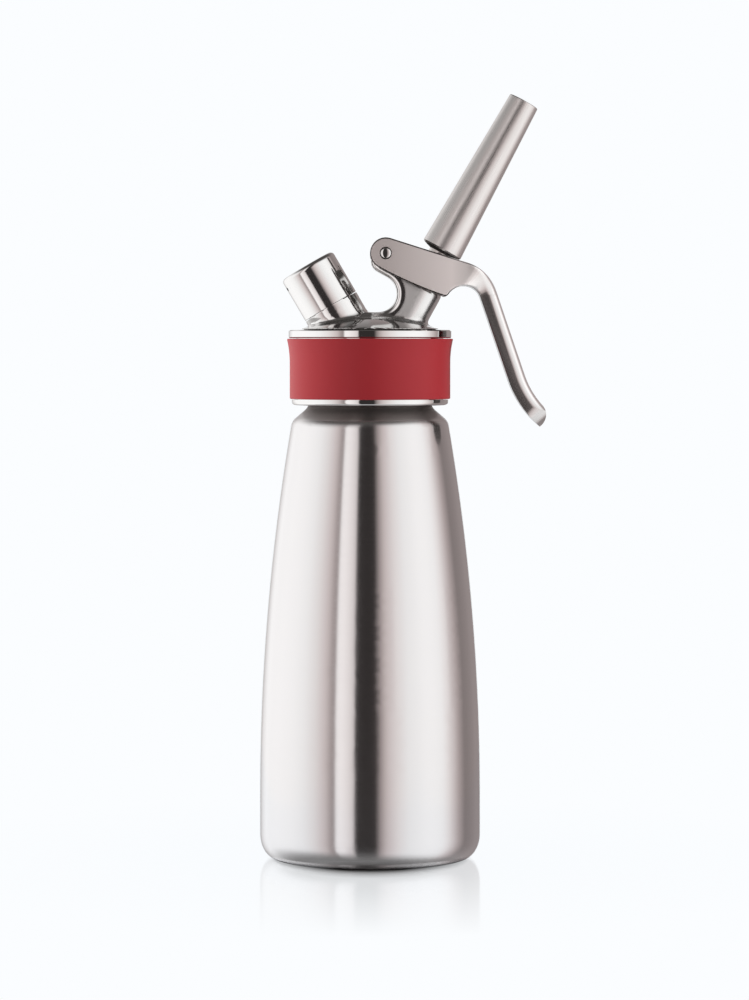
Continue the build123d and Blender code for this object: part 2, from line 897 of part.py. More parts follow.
# Decorating tip: straight cone with a threaded socket and a plain outlet
tip_top = tip_base + tip_length
socket_radius = stem_thread + tip_ridge_height + tip_thread_clearance
tip_ridge = helical_ridge(
    valve_side,
    socket_radius + ridge_bite,
    socket_radius - tip_ridge_height,
    tip_ridge_base,
    tip_ridge_crest,
    tip_pitch,
    tip_ridge_turns,
    stem_ridge_low + tip_pitch / 2,
)
with BuildPart() as decorating_tip:
    with BuildSketch(valve_side) as tip_section:
        with BuildLine():
            Polyline(
                (socket_radius, tip_base),
                (tip_base_radius, tip_base),
                (tip_end_diameter / 2, tip_top),
                (tip_outlet_diameter / 2, tip_top),
                (tip_outlet_diameter / 2, tip_top - tip_outlet_length),
                (tip_throat_diameter / 2, socket_top),
                (socket_radius, socket_top),
                close=True,
            )
        make_face()
        chamfer(corner(tip_section, tip_base_radius, tip_base), tip_edge)
        fillet(corner(tip_section, tip_end_diameter / 2, tip_top), tip_lip)
    revolve(axis=valve_axis)
    add(tip_ridge)
finish(decorating_tip, "decorating_tip")

# Charging cap: screws onto the port's nipple and closes it
cap_radius = port_radius
cap_bore = nipple_radius + cap_ridge_height + cap_thread_clearance
cap_seat = nipple_end + cap_seal_thickness
recess_high = cap_high - cap_top
cap_ridge = helical_ridge(
    port_side,
    cap_bore + ridge_bite,
    cap_bore - cap_ridge_height,
    cap_ridge_base,
    cap_ridge_crest,
    cap_pitch,
    cap_ridge_turns,
    cap_ridge_low + cap_pitch / 2,
)
with BuildPart() as charging_cap:
    with BuildSketch(port_side) as cap_section:
        with BuildLine():
            Polyline(
                (cap_bore, cap_low),
                (cap_radius, cap_low),
                (cap_radius, cap_high),
                (0, cap_high),
                (0, recess_high),
                (cap_recess_diameter / 2, recess_high),
                (cap_recess_diameter / 2, cap_seat),
                (cap_bore, cap_seat),
                close=True,
            )
        make_face()
        chamfer(corner(cap_section, cap_radius, cap_low), cap_edge)
        fillet(corner(cap_section, cap_radius, cap_high), cap_top_round)
    revolve(axis=port_axis)
    vent_place = port_side.from_local_coords((0, (cap_seat + recess_high) / 2, 0))
    vent_way = (port_side.x_dir * -1).rotate(port_axis, vent_turn)
    with BuildSketch(Plane(vent_place, z_dir=vent_way)):
        Circle(vent_diameter / 2)
    extrude(amount=port_diameter, mode=Mode.SUBTRACT)
    add(cap_ridge)
finish(charging_cap, "charging_cap")

# Cap seal: flat ring that the cap presses on the end of the nipple
with BuildPart() as cap_seal:
    with BuildSketch(across(port_side, nipple_end)):
        Circle(cap_bore - cap_thread_clearance)
        Circle(cap_bore - cap_thread_clearance - cap_seal_width, mode=Mode.SUBTRACT)
    extrude(amount=cap_seal_thickness)
finish(cap_seal, "cap_seal")

# Piercing pin: hollow needle on a flange and shank at the bottom of the port
gas_radius = gas_bore / 2 - gas_play
needle_end = flange_high + needle_length
eye_height = needle_end - needle_cone
with BuildPart() as piercing_pin:
    with BuildSketch(port_side):
        with BuildLine():
            Polyline(
                (needle_bore / 2, shank_low),
                (gas_radius, shank_low),
                (gas_radius, charger_floor),
                (charger_bore / 2 - gas_play, charger_floor),
                (charger_bore / 2 - gas_play, flange_high),
                (needle_diameter / 2, flange_high),
                (needle_diameter / 2, eye_height),
                (needle_point, needle_end),
                (0, needle_end),
                (0, eye_height),
                (needle_bore / 2, eye_height),
                close=True,
            )
        make_face()
    revolve(axis=port_axis)
    eye_place = port_side.from_local_coords((0, eye_height - needle_eye, 0))
    with BuildSketch(Plane(eye_place, x_dir=port_side.x_dir, z_dir=port_side.z_dir)):
        Circle(needle_eye / 2)
    extrude(amount=needle_diameter, both=True, mode=Mode.SUBTRACT)
finish(piercing_pin, "piercing_pin")

# Charger seal: ring round the needle that the gas charger seats on
with BuildPart() as charger_seal:
    with BuildSketch(across(port_side, flange_high)):
        Circle(charger_bore / 2 - gas_play)
        Circle(charger_seal_hole / 2, mode=Mode.SUBTRACT)
    extrude(amount=charger_seal_thickness)
finish(charger_seal, "charger_seal")

# Check poppet: disc that closes the needle's bore, with a stem guided in the retainer
with BuildPart() as check_poppet:
    with BuildSketch(across(port_side, poppet_low)):
        Circle(poppet_diameter / 2)
    extrude(amount=poppet_thickness)
    with BuildSketch(across(port_side, retainer_low)):
        Circle(poppet_stem_diameter / 2)
    extrude(amount=poppet_stem_length)
finish(check_poppet, "check_poppet")

# Check retainer: perforated disc in the gas bore
retainer_ring = (check_spring_diameter + gas_bore) / 4
with BuildPart() as check_retainer:
    with BuildSketch(across(port_side, retainer_low)):
        Circle(gas_radius)
        Circle(poppet_stem_diameter / 2 + poppet_play, mode=Mode.SUBTRACT)
        with PolarLocations(retainer_ring, retainer_holes):
            Circle(retainer_hole / 2, mode=Mode.SUBTRACT)
    extrude(amount=retainer_thickness)
finish(check_retainer, "check_retainer")

# Check spring: open coil between the retainer and the poppet's disc
with BuildPart() as check_spring:
    add(
        coil_spring(
            port_side,
            "check_spring",
            check_spring_diameter / 2,
            check_wire,
            retainer_high + check_wire / 2 + spring_end_gap,
            poppet_low - check_wire / 2 - spring_end_gap,
            check_turns,
        )
    )
finish(check_spring, "check_spring")
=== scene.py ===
import json
import math

import bpy
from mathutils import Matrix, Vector


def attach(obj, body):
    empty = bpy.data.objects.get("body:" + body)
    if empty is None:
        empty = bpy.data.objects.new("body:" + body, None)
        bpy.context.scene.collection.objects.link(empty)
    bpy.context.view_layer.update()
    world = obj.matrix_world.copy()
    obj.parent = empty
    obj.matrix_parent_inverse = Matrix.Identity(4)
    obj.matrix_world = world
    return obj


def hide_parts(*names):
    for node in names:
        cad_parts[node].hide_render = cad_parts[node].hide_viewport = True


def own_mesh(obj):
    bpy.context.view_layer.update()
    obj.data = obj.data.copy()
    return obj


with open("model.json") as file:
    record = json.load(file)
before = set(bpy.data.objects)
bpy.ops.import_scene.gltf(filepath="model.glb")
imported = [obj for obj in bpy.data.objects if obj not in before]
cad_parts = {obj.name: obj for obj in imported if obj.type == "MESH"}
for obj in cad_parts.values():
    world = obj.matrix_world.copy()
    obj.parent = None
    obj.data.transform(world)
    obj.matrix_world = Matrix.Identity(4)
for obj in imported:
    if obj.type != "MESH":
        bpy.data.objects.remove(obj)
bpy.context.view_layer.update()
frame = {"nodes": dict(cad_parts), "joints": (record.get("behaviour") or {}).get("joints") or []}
nodes = frame["nodes"]
joints = {joint["name"]: joint for joint in frame["joints"]}

# Bottle: one stainless blank, deep drawn to a belly, shoulder and neck, with the neck thread rolled.
# It is brushed while it turns, so fine lines run round it and smear reflections up and down its side.
# The brush fades out over the shoulder and the neck stays matt; the colour there is darker, a painted
# shade under the neck ring.
bottle_colour = "#CCCACA"
neck_shade_colour = "#A8A2A0"
neck_roughness = 0.4
brush_fade, brush_end, neck_begin = 0.161, 0.1665, 0.171


def linear(colour):
    """Linear RGBA of an sRGB hex colour."""
    channels = [int(colour[i : i + 2], 16) / 255 for i in (1, 3, 5)]
    return [c / 12.92 if c <= 0.04045 else ((c + 0.055) / 1.055) ** 2.4 for c in channels] + [1.0]


def add_node(tree, kind, inputs=None, **settings):
    """Adds a node with its settings; each input is a value, or an output socket to link."""
    node = tree.nodes.new(kind)
    for name, value in settings.items():
        setattr(node, name, value)
    for name, value in (inputs or {}).items():
        if isinstance(value, bpy.types.NodeSocket):
            tree.links.new(value, node.inputs[name])
        else:
            node.inputs[name].default_value = value
    return node


def new_material(name, **sockets):
    """A material whose Principled shader has these constants on its own sockets."""
    material = bpy.data.materials.new(name)
    material.use_nodes = True
    shader = material.node_tree.nodes["Principled BSDF"]
    for socket, value in sockets.items():
        shader.inputs[socket.replace("_", " ")].default_value = value
    return material, material.node_tree, shader


def opened(material):
    """A finished material's node tree, its shader, and the output that drives its roughness."""
    tree = material.node_tree
    shader = tree.nodes["Principled BSDF"]
    return tree, shader, shader.inputs["Roughness"].links[0].from_socket


def dress(node, material):
    """Gives a CAD node its finish."""
    nodes[node].data.materials.clear()
    nodes[node].data.materials.append(material)


def brushed_stainless(name, colour, axis, round_axis, smooth, rough):
    """Stainless brushed round an axis or along it, which smears reflections across the lines.

    The grit is finer than a pixel, so the lines are drawn wider.
    """
    line_width = 0.0006
    line_length = 0.02
    line_depth = 0.000006
    fine, coarse = 1 / line_width, 1 / line_length
    everywhere, extra = (coarse, fine - coarse) if round_axis else (fine, coarse - fine)
    material, tree, shader = new_material(
        name,
        Base_Color=linear(colour),
        Metallic=1.0,
        Anisotropic=0.6,
        Anisotropic_Rotation=0.0 if round_axis else 0.25,
    )
    place = add_node(tree, "ShaderNodeTexCoord").outputs["Object"]
    along = add_node(tree, "ShaderNodeVectorMath", {0: place, 1: axis}, operation="DOT_PRODUCT")
    across = add_node(
        tree, "ShaderNodeMath", {0: along.outputs["Value"], 1: extra}, operation="MULTIPLY"
    )
    steps = add_node(
        tree, "ShaderNodeVectorMath", {0: axis, "Scale": across.outputs[0]}, operation="SCALE"
    )
    spread = add_node(
        tree,
        "ShaderNodeVectorMath",
        {0: place, 1: (everywhere,) * 3, 2: steps.outputs[0]},
        operation="MULTIPLY_ADD",
    )
    lines = add_node(
        tree, "ShaderNodeTexNoise", {"Vector": spread.outputs[0], "Scale": 1.0, "Detail": 3.0}
    )
    gloss = add_node(
        tree, "ShaderNodeMapRange", {"Value": lines.outputs[0], "To Min": smooth, "To Max": rough}
    )
    bump = add_node(
        tree, "ShaderNodeBump", {"Height": lines.outputs[0], "Strength": 1.0, "Distance": line_depth}
    )
    upward = add_node(
        tree,
        "ShaderNodeVectorTransform",
        {"Vector": axis},
        vector_type="VECTOR",
        convert_from="OBJECT",
        convert_to="WORLD",
    )
    tree.links.new(gloss.outputs[0], shader.inputs["Roughness"])
    tree.links.new(bump.outputs[0], shader.inputs["Normal"])
    tree.links.new(upward.outputs[0], shader.inputs["Tangent"])
    return material


bottle_steel = brushed_stainless("brushed_stainless_bottle", bottle_colour, (0, 0, 1), True, 0.1, 0.2)
tree, shader, brushed = opened(bottle_steel)
place = add_node(tree, "ShaderNodeTexCoord").outputs["Object"]
up = add_node(tree, "ShaderNodeSeparateXYZ", {0: place})
# the colour darkens towards the neck: painted shade under the neck ring
drawn = add_node(
    tree,
    "ShaderNodeMapRange",
    {"Value": up.outputs["Z"], "From Min": brush_end, "From Max": neck_begin},
)
neck_shade = add_node(
    tree,
    "ShaderNodeMix",
    {0: drawn.outputs[0], 6: linear(bottle_colour), 7: linear(neck_shade_colour)},
    data_type="RGBA",
)
matt = add_node(
    tree,
    "ShaderNodeMapRange",
    {
        "Value": up.outputs["Z"],
        "From Min": brush_fade,
        "From Max": neck_begin,
        "To Max": neck_roughness,
    },
)
rough = add_node(tree, "ShaderNodeMath", {0: brushed, 1: matt.outputs[0]}, operation="MAXIMUM")
tree.links.new(neck_shade.outputs[2], shader.inputs["Base Color"])
tree.links.new(rough.outputs[0], shader.inputs["Roughness"])
dress("bottle", bottle_steel)

# Head: a stainless casting, ground and buffed to a mirror, so its edges run into soft blends.
# Its flange and the port's end are turned afterwards and stay crisp; the valve's pillar is satin.
polished_colour = "#D1D0CF"
crisp_angle = math.radians(20)
triangle_merge = 0.000002
flange_top = 0.2022
flange_cut = flange_top + 0.00002
# the valve's pillar leans towards the lever; distances are from its axis, heights along it
valve_foot = (0.0, 0.0, 0.1834)
valve_axis = Vector(joints["tip_turn"]["axis"])
valve_bore = 0.0072
pillar_edge, pillar_clear = 0.0115, 0.0125
pillar_low, pillar_high = 0.022, 0.041
pillar_end = 0.039
# the charging port leans the other way, with the bridge's notch between them
port_foot = (0.0, 0.0, 0.1857)
port_axis = Vector(joints["cap_turn"]["axis"])
port_bore = 0.0055
port_radius = 0.01125
port_cut = 0.0274
port_right = -0.0025
port_end, port_end_right = 0.0265, -0.002
port_margin = 0.0003
port_overlap = 0.0006
notch_middle = (0.00303, 0.0, 0.2161)
lip_edge, lip_clear = 0.0098, 0.0108
# the blends reach this high above the flange and fade out over these lengths
blend_voxel = 0.00062
blend_top, blend_fade = 0.0125, 0.004
foot_margin, foot_fade = 0.0006, 0.001
soft_passes, blend_passes = 5, 22


def merged_copy(node, name):
    """A copy of a CAD node with its loose triangles merged, left all selected in edit mode."""
    bpy.ops.object.select_all(action="DESELECT")
    piece = bpy.data.objects.new(name, nodes[node].data.copy())
    bpy.context.scene.collection.objects.link(piece)
    bpy.context.view_layer.objects.active = piece
    piece.select_set(True)
    bpy.ops.mesh.customdata_custom_splitnormals_clear()
    bpy.ops.object.mode_set(mode="EDIT")
    bpy.ops.mesh.select_all(action="SELECT")
    bpy.ops.mesh.remove_doubles(threshold=triangle_merge)
    return piece


def apply_modifier(piece, kind, **settings):
    """Adds a modifier with its settings and applies it."""
    bpy.context.view_layer.objects.active = piece
    modifier = piece.modifiers.new(kind.lower(), kind)
    for name, value in settings.items():
        setattr(modifier, name, value)
    bpy.ops.object.modifier_apply(modifier=modifier.name)


def stand_for(piece, node, body, material):
    """The piece takes a CAD node's place on its body, with a finish."""
    piece.data.materials.clear()
    piece.data.materials.append(material)
    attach(piece, body)
    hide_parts(node)


def off_axis(point, foot, axis):
    """Distance of a point from an axis, and its height along it."""
    arm = point - Vector(foot)
    height = arm.dot(axis)
    return (arm - axis * height).length, height


def clamped(share):
    """The share, kept between 0 and 1."""
    return min(max(share, 0.0), 1.0)


def buffed_stainless(name, smooth, rough):
    """Stainless buffed to a mirror. Swirls of the wheel vary its gloss; they are drawn coarser."""
    swirl_width = 0.004
    material, tree, shader = new_material(name, Base_Color=linear(polished_colour), Metallic=1.0)
    place = add_node(tree, "ShaderNodeTexCoord").outputs["Object"]
    swirls = add_node(
        tree,
        "ShaderNodeTexNoise",
        {"Vector": place, "Scale": 1 / swirl_width, "Detail": 4.0, "Distortion": 1.5},
    )
    gloss = add_node(
        tree, "ShaderNodeMapRange", {"Value": swirls.outputs[0], "To Min": smooth, "To Max": rough}
    )
    tree.links.new(gloss.outputs[0], shader.inputs["Roughness"])
    return material


mirror_steel = buffed_stainless("buffed_stainless", 0.03, 0.08)
flange = merged_copy("head", "head_flange")
bpy.ops.mesh.bisect(plane_co=(0, 0, flange_cut), plane_no=(0, 0, 1), use_fill=True, clear_outer=True)
bpy.ops.object.mode_set(mode="OBJECT")
bpy.ops.object.shade_smooth_by_angle(angle=crisp_angle)
stand_for(flange, "head", "head", mirror_steel)

# the casting's satin lies on the pillar, most on its flat sides, and stops short of the notch's lip
flat_begin, flat_full = 0.93, 0.985
round_satin, flat_satin = 0.26, 0.5
casting_steel = buffed_stainless("buffed_casting", 0.07, 0.12)
tree, shader, gloss = opened(casting_steel)
place = add_node(tree, "ShaderNodeTexCoord").outputs["Object"]
outward = add_node(tree, "ShaderNodeTexCoord").outputs["Normal"]
facing = add_node(tree, "ShaderNodeSeparateXYZ", {0: outward})
sideways = add_node(tree, "ShaderNodeMath", {0: facing.outputs["Y"], 1: 2.0}, operation="POWER")
flat = add_node(
    tree,
    "ShaderNodeMapRange",
    {
        "Value": sideways.outputs[0],
        "From Min": flat_begin,
        "From Max": flat_full,
        "To Min": round_satin,
        "To Max": flat_satin,
    },
)
arm = add_node(tree, "ShaderNodeVectorMath", {0: place, 1: valve_foot}, operation="SUBTRACT")
around = add_node(
    tree, "ShaderNodeVectorMath", {0: arm.outputs[0], 1: valve_axis}, operation="CROSS_PRODUCT"
)
reach = add_node(tree, "ShaderNodeVectorMath", {0: around.outputs[0]}, operation="LENGTH")
on_pillar = add_node(
    tree,
    "ShaderNodeMapRange",
    {"Value": reach.outputs["Value"], "From Min": pillar_clear, "From Max": pillar_edge},
)
arm = add_node(tree, "ShaderNodeVectorMath", {0: place, 1: notch_middle}, operation="SUBTRACT")
across = add_node(
    tree, "ShaderNodeVectorMath", {0: arm.outputs[0], 1: (1, 0, 1)}, operation="MULTIPLY"
)
reach = add_node(tree, "ShaderNodeVectorMath", {0: across.outputs[0]}, operation="LENGTH")
off_lip = add_node(
    tree,
    "ShaderNodeMapRange",
    {"Value": reach.outputs["Value"], "From Min": lip_edge, "From Max": lip_clear},
)
satin = add_node(
    tree, "ShaderNodeMath", {0: on_pillar.outputs[0], 1: off_lip.outputs[0]}, operation="MULTIPLY"
)
satin = add_node(
    tree, "ShaderNodeMath", {0: satin.outputs[0], 1: flat.outputs[0]}, operation="MULTIPLY"
)
rough = add_node(tree, "ShaderNodeMath", {0: gloss, 1: satin.outputs[0]}, operation="MAXIMUM")
tree.links.new(rough.outputs[0], shader.inputs["Roughness"])

casting = merged_copy("head", "head_casting")
bpy.ops.mesh.bisect(plane_co=(0, 0, flange_cut), plane_no=(0, 0, 1), use_fill=True, clear_inner=True)
bpy.ops.object.mode_set(mode="OBJECT")
apply_modifier(casting, "REMESH", mode="VOXEL", voxel_size=blend_voxel)
soft = casting.vertex_groups.new(name="soft")
blends = casting.vertex_groups.new(name="blends")
for vertex in casting.data.vertices:
    from_port, up_port = off_axis(vertex.co, port_foot, port_axis)
    from_valve, up_valve = off_axis(vertex.co, valve_foot, valve_axis)
    height = vertex.co.z - flange_top
    if from_port < port_bore or from_valve < valve_bore or height < foot_margin:
        continue
    soft.add([vertex.index], 1.0, "REPLACE")
    share = clamped((blend_top - height) / blend_fade) * clamped((height - foot_margin) / foot_fade)
    at_port_end = up_port > port_end and vertex.co.x < port_end_right
    if up_valve > pillar_end or at_port_end:
        share = 0.0
    if from_valve < pillar_clear and pillar_low < up_valve < pillar_high:
        from_notch = math.hypot(vertex.co.x - notch_middle[0], vertex.co.z - notch_middle[2])
        share = max(share, clamped((from_notch - lip_edge) / (lip_clear - lip_edge)))
    blends.add([vertex.index], share, "REPLACE")
apply_modifier(casting, "SMOOTH", factor=0.5, iterations=soft_passes, vertex_group="soft")
apply_modifier(casting, "SMOOTH", factor=0.5, iterations=blend_passes, vertex_group="blends")
for vertex in casting.data.vertices:
    from_port, up_port = off_axis(vertex.co, port_foot, port_axis)
    at_end = up_port > port_cut + port_overlap and vertex.co.x < port_right
    vertex.select = at_end and from_port < port_radius + port_margin
bpy.ops.object.mode_set(mode="EDIT")
bpy.ops.mesh.delete(type="VERT")
bpy.ops.object.mode_set(mode="OBJECT")
apply_modifier(casting, "SUBSURF", levels=1)
bpy.ops.object.shade_smooth()
stand_for(casting, "head", "head", casting_steel)

cap_steel = buffed_stainless("buffed_cap", 0.07, 0.12)
port = merged_copy("head", "head_port")
bpy.ops.mesh.bisect(
    plane_co=Vector(port_foot) + port_axis * port_cut, plane_no=port_axis, clear_inner=True
)
bpy.ops.mesh.select_all(action="SELECT")
bpy.ops.mesh.bisect(plane_co=(port_right, 0, 0), plane_no=(1, 0, 0), clear_outer=True)
bpy.ops.mesh.select_all(action="DESELECT")
bpy.ops.object.mode_set(mode="OBJECT")
for vertex in port.data.vertices:
    vertex.select = off_axis(vertex.co, port_foot, port_axis)[0] > port_radius + port_margin
bpy.ops.object.mode_set(mode="EDIT")
bpy.ops.mesh.delete(type="VERT")
bpy.ops.object.mode_set(mode="OBJECT")
bpy.ops.object.shade_smooth_by_angle(angle=crisp_angle)
stand_for(port, "head", "head", cap_steel)

# Neck ring: the threaded skirt and its lower ring, turned from stainless and brazed under the head.
# It is buffed; its faces that turn downwards are darker, a painted shade under the ring.
underside_shade_colour = "#A29C9A"
under_begin, under_full = -0.7, -0.9
ring_steel = buffed_stainless("buffed_neck_ring", 0.03, 0.08)
tree, shader = opened(ring_steel)[:2]
outward = add_node(tree, "ShaderNodeTexCoord").outputs["Normal"]
facing = add_node(tree, "ShaderNodeSeparateXYZ", {0: outward})
# faces turned downwards take the painted shade colour
under = add_node(
    tree,
    "ShaderNodeMapRange",
    {"Value": facing.outputs["Z"], "From Min": under_begin, "From Max": under_full},
)
underside_shade = add_node(
    tree,
    "ShaderNodeMix",
    {0: under.outputs[0], 6: linear(polished_colour), 7: linear(underside_shade_colour)},
    data_type="RGBA",
)
tree.links.new(underside_shade.outputs[2], shader.inputs["Base Color"])
dress("neck_ring", ring_steel)

# Grip band: a ring of red silicone, moulded with a flared upper lip and stretched over the skirt.
# It is held between the flange and the lower ring, and insulates the hand from the cold metal.
band_inside = 0.02825
band_waist = 0.0307
band_flare = 0.0318
band_low = 0.1759
band_high = 0.1989
band_rim = 0.0005
flare_run = 0.009
flare_steps = 8
lathe_steps = 160
lathe_merge = 0.00001
rounded_angle = math.radians(40)


def lathe(name, profile, rounded):
    """A ring turned round Z from a closed profile of (radius, height), its corners bevelled."""
    bpy.ops.object.select_all(action="DESELECT")
    bpy.ops.mesh.primitive_plane_add(size=0.01)
    piece = bpy.context.object
    piece.name = name
    bpy.ops.object.mode_set(mode="EDIT")
    bpy.ops.mesh.merge(type="CENTER")
    bpy.ops.transform.translate(value=(profile[0][0], 0, profile[0][1]))
    for (start, low), (end, high) in zip(profile, profile[1:] + profile[:1]):
        bpy.ops.mesh.extrude_region_move(
            TRANSFORM_OT_translate={"value": (end - start, 0, high - low)}
        )
    bpy.ops.mesh.select_all(action="SELECT")
    bpy.ops.mesh.remove_doubles(threshold=lathe_merge)
    bpy.ops.mesh.bevel(offset=rounded, segments=4, affect="VERTICES")
    bpy.ops.mesh.select_all(action="SELECT")
    bpy.ops.mesh.spin(steps=lathe_steps, angle=2 * math.pi, center=(0, 0, 0), axis=(0, 0, 1))
    bpy.ops.mesh.select_all(action="SELECT")
    bpy.ops.mesh.remove_doubles(threshold=lathe_merge)
    bpy.ops.mesh.normals_make_consistent(inside=False)
    bpy.ops.object.mode_set(mode="OBJECT")
    bpy.ops.object.shade_smooth_by_angle(angle=rounded_angle)
    return piece


flare_start = band_high - flare_run
flare = []
for step in range(flare_steps + 1):
    part_way = step / flare_steps
    radius = band_waist + (band_flare - band_waist) * part_way**2
    flare.append((radius, flare_start + flare_run * part_way))
band = lathe(
    "grip_band_moulded",
    [(band_inside, band_low), (band_waist, band_low)] + flare + [(band_inside, band_high)],
    band_rim,
)
# Moulded silicone rubber: matt, slightly translucent at the rim, with the faint grain of its mould.
# The grain is finer than a pixel, so it is drawn at half a millimetre.
silicone_grain = 0.0005
grain_depth = 0.00002
silicone, tree, shader = new_material(
    "moulded_silicone",
    Base_Color=linear("#B5333A"),
    IOR=1.41,
    Specular_IOR_Level=0.3,
    Sheen_Weight=0.05,
    Sheen_Roughness=0.3,
    Subsurface_Weight=0.08,
    Subsurface_Scale=0.002,
)
place = add_node(tree, "ShaderNodeTexCoord").outputs["Object"]
grain = add_node(
    tree, "ShaderNodeTexNoise", {"Vector": place, "Scale": 1 / silicone_grain, "Detail": 2.0}
)
matt = add_node(
    tree, "ShaderNodeMapRange", {"Value": grain.outputs[0], "To Min": 0.4, "To Max": 0.52}
)
bump = add_node(
    tree, "ShaderNodeBump", {"Height": grain.outputs[0], "Strength": 0.5, "Distance": grain_depth}
)
tree.links.new(matt.outputs[0], shader.inputs["Roughness"])
tree.links.new(bump.outputs[0], shader.inputs["Normal"])
stand_for(band, "grip_band", "head", silicone)

# Lever: a forged stainless squeeze lever, two cheeks that run together into a curved handle.
# It is bead blasted to a satin grey. Its colour carries painted light: a painted highlight on the
# side turned away from the bottle, and painted shade on the side towards it and on the cheeks' edges.
satin_grain = 0.0004
cheek_end, handle_begin = 0.036, 0.043
cheek_edge_end, root_begin = 0.03, 0.034
lever_reach = 0.07
# the lever's colour along its length is painted light and shade, lightest where the cheeks end
lever_painted_light_tones = ((0.006, "#CBC4C2"), (0.031, "#F4EEEC"), (0.038, "#DDD9D7"), (0.046, "#C9C7C6"))
outer_highlight_colour = "#FFFFFF"
bottle_side_shade_colour = "#6E6866"
edge_shade_colour = "#3A3433"
bottle_side = (-0.8, 0.0, -0.6)
handle_gloss, cheek_matt = 0.3, 0.95
# how far a face is turned where each tone begins, and where it is full
highlight_begin, highlight_full = -0.45, -0.85
bottle_side_begin, bottle_side_full = 0.45, 0.57
edge_begin, edge_full = 0.93, 0.75
under_edge, above_edge = 0.04, 0.2
cheek_begin, cheek_full = 0.8, 0.97
# above the seam the forging has soft blends; the handle below it is crisp
handle_seam = 0.2155
seam_overlap = 0.002
seam_fade = 0.004
lever_voxel = 0.0003
lever_passes = 8
handle_angle = math.radians(25)


def blasted_stainless(name, colour, smooth, rough):
    """Bead-blasted stainless. Its dimples are finer than a pixel and are drawn coarser."""
    material, tree, shader = new_material(name, Base_Color=linear(colour), Metallic=1.0)
    place = add_node(tree, "ShaderNodeTexCoord").outputs["Object"]
    grain = add_node(
        tree, "ShaderNodeTexNoise", {"Vector": place, "Scale": 1 / satin_grain, "Detail": 2.0}
    )
    matt = add_node(
        tree, "ShaderNodeMapRange", {"Value": grain.outputs[0], "To Min": smooth, "To Max": rough}
    )
    tree.links.new(matt.outputs[0], shader.inputs["Roughness"])
    return material


def set_stops(ramp, stops):
    """Gives a colour ramp its stops, as (position, colour) from left to right."""
    while len(ramp.elements) < len(stops):
        ramp.elements.new(1.0)
    for element, stop in zip(ramp.elements, stops):
        element.position = stop[0]
    for element, stop in zip(ramp.elements, stops):
        element.color = stop[1]


lever_steel = blasted_stainless("lever_stainless", lever_painted_light_tones[0][1], 0.58, 0.66)
tree, shader, matt = opened(lever_steel)
place = add_node(tree, "ShaderNodeTexCoord").outputs["Object"]
from_middle = add_node(tree, "ShaderNodeSeparateXYZ", {0: place}).outputs["X"]
outward = add_node(tree, "ShaderNodeTexCoord").outputs["Normal"]
facing = add_node(tree, "ShaderNodeSeparateXYZ", {0: outward})
sideways = add_node(tree, "ShaderNodeMath", {0: facing.outputs["Y"], 1: 2.0}, operation="POWER")
inward = add_node(
    tree, "ShaderNodeVectorMath", {0: outward, 1: bottle_side}, operation="DOT_PRODUCT"
)
along = add_node(
    tree, "ShaderNodeMapRange", {"Value": from_middle, "From Min": 0.0, "From Max": lever_reach}
)
tone = add_node(tree, "ShaderNodeValToRGB", {0: along.outputs[0]})
tones = [(far_out / lever_reach, linear(colour)) for far_out, colour in lever_painted_light_tones]
set_stops(tone.color_ramp, tones)
# faces turned away from the bottle get a painted highlight
painted_highlight = add_node(
    tree,
    "ShaderNodeMapRange",
    {"Value": inward.outputs["Value"], "From Min": highlight_begin, "From Max": highlight_full},
)
painted_highlight = add_node(
    tree,
    "ShaderNodeMix",
    {0: painted_highlight.outputs[0], 6: tone.outputs[0], 7: linear(outer_highlight_colour)},
    data_type="RGBA",
)
# faces turned towards the bottle get painted shade
shaded = add_node(
    tree,
    "ShaderNodeMapRange",
    {"Value": inward.outputs["Value"], "From Min": bottle_side_begin, "From Max": bottle_side_full},
)
shaded = add_node(
    tree,
    "ShaderNodeMix",
    {0: shaded.outputs[0], 6: painted_highlight.outputs[2], 7: linear(bottle_side_shade_colour)},
    data_type="RGBA",
)
# painted shade along the cheeks' rounded edges, stopping short of the root
turned_off = add_node(
    tree,
    "ShaderNodeMapRange",
    {"Value": sideways.outputs[0], "From Min": edge_begin, "From Max": edge_full},
)
not_under = add_node(
    tree,
    "ShaderNodeMapRange",
    {"Value": sideways.outputs[0], "From Min": under_edge, "From Max": above_edge},
)
before_root = add_node(
    tree,
    "ShaderNodeMapRange",
    {"Value": from_middle, "From Min": root_begin, "From Max": cheek_edge_end},
)
bevel = add_node(
    tree, "ShaderNodeMath", {0: turned_off.outputs[0], 1: not_under.outputs[0]}, operation="MULTIPLY"
)
bevel = add_node(
    tree, "ShaderNodeMath", {0: bevel.outputs[0], 1: before_root.outputs[0]}, operation="MULTIPLY"
)
painted_edge_shade = add_node(
    tree,
    "ShaderNodeMix",
    {0: bevel.outputs[0], 6: shaded.outputs[2], 7: linear(edge_shade_colour)},
    data_type="RGBA",
)
tree.links.new(painted_edge_shade.outputs[2], shader.inputs["Base Color"])
# the flat cheeks are the most matt
flat = add_node(
    tree,
    "ShaderNodeMapRange",
    {"Value": sideways.outputs[0], "From Min": cheek_begin, "From Max": cheek_full},
)
cheek = add_node(
    tree,
    "ShaderNodeMapRange",
    {"Value": from_middle, "From Min": handle_begin, "From Max": cheek_end},
)
satin = add_node(
    tree, "ShaderNodeMath", {0: flat.outputs[0], 1: cheek.outputs[0]}, operation="MULTIPLY"
)
blasted = add_node(
    tree,
    "ShaderNodeMapRange",
    {"Value": satin.outputs[0], "To Min": handle_gloss, "To Max": cheek_matt},
)
rough = add_node(tree, "ShaderNodeMath", {0: matt, 1: blasted.outputs[0]}, operation="MULTIPLY")
tree.links.new(rough.outputs[0], shader.inputs["Roughness"])

